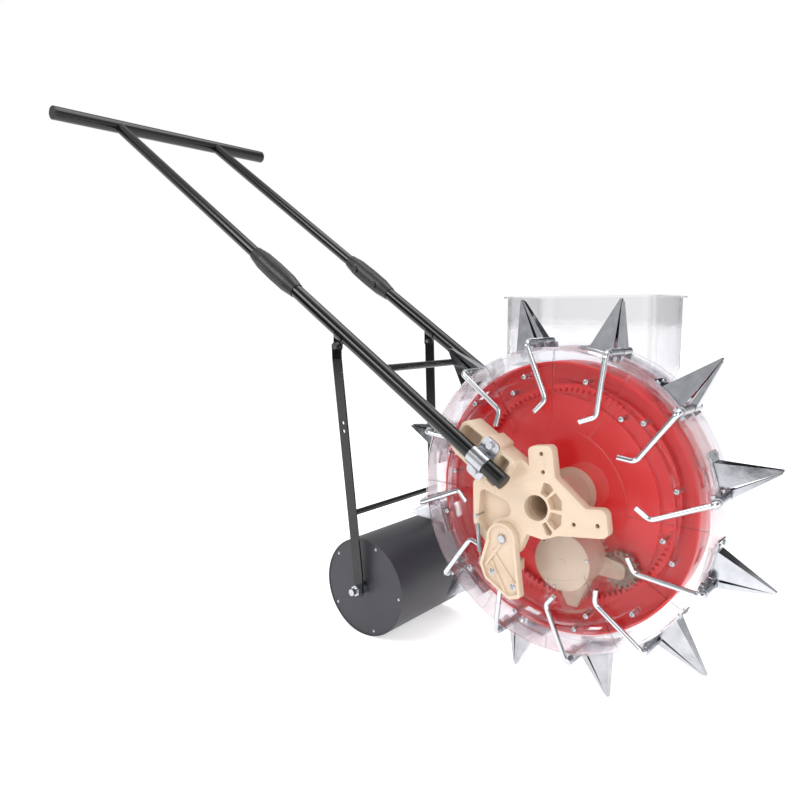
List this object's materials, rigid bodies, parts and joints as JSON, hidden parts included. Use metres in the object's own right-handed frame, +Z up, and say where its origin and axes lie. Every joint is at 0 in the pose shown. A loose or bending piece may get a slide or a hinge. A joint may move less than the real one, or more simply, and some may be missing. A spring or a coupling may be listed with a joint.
{
  "type": "push seeder",
  "caption": "Hand-pushed drum seeder: duckbill beaks round a clear drum, side hopper, long two-tube handle and a press roller on straps behind.",
  "frame": {"origin": "middle of the bounding box at ground level, under the machine", "axes": "+X forward, the way it is pushed; +Y to the machine's left, the hopper's side; +Z up"},
  "size_m": [1.339, 0.544, 0.9993],
  "materials": {
    "clear_plastic": "clear moulded plastic, glossy",
    "red_plastic": "red moulded plastic, glossy",
    "cream_plastic": "uncoloured cream engineering plastic, satin",
    "grey_plastic": "grey-brown engineering plastic, satin",
    "bright_plate": "bright zinc-plated sheet steel",
    "plated_rod": "bright plated steel rod",
    "zinc_steel": "zinc-plated steel",
    "black_paint": "black powder coat, semi-gloss",
    "roller_paint": "dark grey powder coat, satin",
    "black_plastic": "black moulded plastic, satin"
  },
  "bodies": {
    "frame": {"near_hub_plate": "cream_plastic", "far_hub_plate": "cream_plastic", "hub_screws": "zinc_steel", "metering_case": "cream_plastic", "metering_cover": "cream_plastic", "handlebar": "black_paint", "upper_tubes": "black_paint", "lower_tubes": "black_paint", "tube_caps": "black_plastic", "tube_couplings": "black_plastic", "saddle_clamps": "zinc_steel", "strap_clips": "black_paint", "frame_bolts": "zinc_steel", "cross_bar": "black_paint", "hopper": "clear_plastic", "opener_spring": "zinc_steel"},
    "wheel": {"near_shell": "clear_plastic", "far_shell": "clear_plastic", "seed_dish": "red_plastic", "shell_screws": "zinc_steel", "wheel_bushes": "cream_plastic", "ring_gear": "red_plastic", "fixed_jaws": "bright_plate", "jaw_screws": "zinc_steel", "pivot_sleeves": "zinc_steel"},
    "idler": {"idler_gear": "grey_plastic"},
    "metering": {"metering_roller": "cream_plastic", "metering_gear": "cream_plastic"},
    "opener": {"opener_lever": "cream_plastic", "opener_screws": "zinc_steel"},
    "yoke": {"roller_straps": "black_paint", "strap_cross_rod": "black_paint", "roller_axle": "zinc_steel"},
    "press_roller": {"roller_shell": "roller_paint", "roller_discs": "roller_paint", "roller_rivets": "zinc_steel"},
    "beak_01": {"moving_jaw_01": "bright_plate", "opener_rod_01": "plated_rod"},
    "beak_02": {"moving_jaw_02": "bright_plate", "opener_rod_02": "plated_rod"},
    "beak_03": {"moving_jaw_03": "bright_plate", "opener_rod_03": "plated_rod"},
    "beak_04": {"moving_jaw_04": "bright_plate", "opener_rod_04": "plated_rod"},
    "beak_05": {"moving_jaw_05": "bright_plate", "opener_rod_05": "plated_rod"},
    "beak_06": {"moving_jaw_06": "bright_plate", "opener_rod_06": "plated_rod"},
    "beak_07": {"moving_jaw_07": "bright_plate", "opener_rod_07": "plated_rod"},
    "beak_08": {"moving_jaw_08": "bright_plate", "opener_rod_08": "plated_rod"},
    "beak_09": {"moving_jaw_09": "bright_plate", "opener_rod_09": "plated_rod"},
    "beak_10": {"moving_jaw_10": "bright_plate", "opener_rod_10": "plated_rod"},
    "beak_11": {"moving_jaw_11": "bright_plate", "opener_rod_11": "plated_rod"},
    "beak_12": {"moving_jaw_12": "bright_plate", "opener_rod_12": "plated_rod"}
  },
  "joints": [
    {"name": "wheel_spin", "type": "hinge", "parent": "frame", "child": "wheel", "pos_m": [0.36942, 0, 0.30006], "axis": [0, 1, 0], "continuous": true},
    {"name": "idler_spin", "type": "hinge", "parent": "frame", "child": "idler", "pos_m": [0.45583, 0.019, 0.19634], "axis": [0, 1, 0], "continuous": true},
    {"name": "metering_spin", "type": "hinge", "parent": "frame", "child": "metering", "pos_m": [0.38991, 0, 0.21085], "axis": [0, 1, 0], "continuous": true},
    {"name": "opener_swing", "type": "hinge", "parent": "frame", "child": "opener", "pos_m": [0.31942, -0.098, 0.24656], "axis": [0, -1, 0], "range_deg": [0, 20], "stiffness_Nm_per_rad": 1, "springref_deg": -22.92, "deforming": ["opener_spring"]},
    {"name": "roller_frame_swing", "type": "hinge", "parent": "frame", "child": "yoke", "pos_m": [0.00942, 0, 0.52406], "axis": [0, 1, 0], "range_deg": [0, 20]},
    {"name": "roller_spin", "type": "hinge", "parent": "yoke", "child": "press_roller", "pos_m": [0.02242, 0.02, 0.089], "axis": [0, 1, 0], "continuous": true},
    {"name": "beak_01_open", "type": "hinge", "parent": "wheel", "child": "beak_01", "pos_m": [0.21711, 0, 0.4845], "axis": [0, 1, 0], "range_deg": [0, 22], "stiffness_Nm_per_rad": 0.4, "springref_deg": -28.65},
    {"name": "beak_02_open", "type": "hinge", "parent": "wheel", "child": "beak_02", "pos_m": [0.32974, 0, 0.53595], "axis": [0, 1, 0], "range_deg": [0, 22], "stiffness_Nm_per_rad": 0.4, "springref_deg": -28.65},
    {"name": "beak_03_open", "type": "hinge", "parent": "wheel", "child": "beak_03", "pos_m": [0.45299, 0, 0.52419], "axis": [0, 1, 0], "range_deg": [0, 22], "stiffness_Nm_per_rad": 0.4, "springref_deg": -28.65},
    {"name": "beak_04_open", "type": "hinge", "parent": "wheel", "child": "beak_04", "pos_m": [0.55386, 0, 0.45237], "axis": [0, 1, 0], "range_deg": [0, 22], "stiffness_Nm_per_rad": 0.4, "springref_deg": -28.65},
    {"name": "beak_05_open", "type": "hinge", "parent": "wheel", "child": "beak_05", "pos_m": [0.6053, 0, 0.33975], "axis": [0, 1, 0], "range_deg": [0, 22], "stiffness_Nm_per_rad": 0.4, "springref_deg": -28.65},
    {"name": "beak_06_open", "type": "hinge", "parent": "wheel", "child": "beak_06", "pos_m": [0.59354, 0, 0.21649], "axis": [0, 1, 0], "range_deg": [0, 22], "stiffness_Nm_per_rad": 0.4, "springref_deg": -28.65},
    {"name": "beak_07_open", "type": "hinge", "parent": "wheel", "child": "beak_07", "pos_m": [0.52173, 0, 0.11562], "axis": [0, 1, 0], "range_deg": [0, 22], "stiffness_Nm_per_rad": 0.4, "springref_deg": -28.65},
    {"name": "beak_08_open", "type": "hinge", "parent": "wheel", "child": "beak_08", "pos_m": [0.4091, 0, 0.06417], "axis": [0, 1, 0], "range_deg": [0, 22], "stiffness_Nm_per_rad": 0.4, "springref_deg": -28.65},
    {"name": "beak_09_open", "type": "hinge", "parent": "wheel", "child": "beak_09", "pos_m": [0.28585, 0, 0.07594], "axis": [0, 1, 0], "range_deg": [0, 22], "stiffness_Nm_per_rad": 0.4, "springref_deg": -28.65},
    {"name": "beak_10_open", "type": "hinge", "parent": "wheel", "child": "beak_10", "pos_m": [0.18498, 0, 0.14775], "axis": [0, 1, 0], "range_deg": [0, 22], "stiffness_Nm_per_rad": 0.4, "springref_deg": -28.65},
    {"name": "beak_11_open", "type": "hinge", "parent": "wheel", "child": "beak_11", "pos_m": [0.13353, 0, 0.26038], "axis": [0, 1, 0], "range_deg": [0, 22], "stiffness_Nm_per_rad": 0.4, "springref_deg": -28.65},
    {"name": "beak_12_open", "type": "hinge", "parent": "wheel", "child": "beak_12", "pos_m": [0.1453, 0, 0.38363], "axis": [0, 1, 0], "range_deg": [0, 22], "stiffness_Nm_per_rad": 0.4, "springref_deg": -28.65}
  ],
  "couplings": [
    {"joint": "idler_spin", "follows": "wheel_spin", "ratio": 6},
    {"joint": "metering_spin", "follows": "wheel_spin", "ratio": -4}
  ]
}
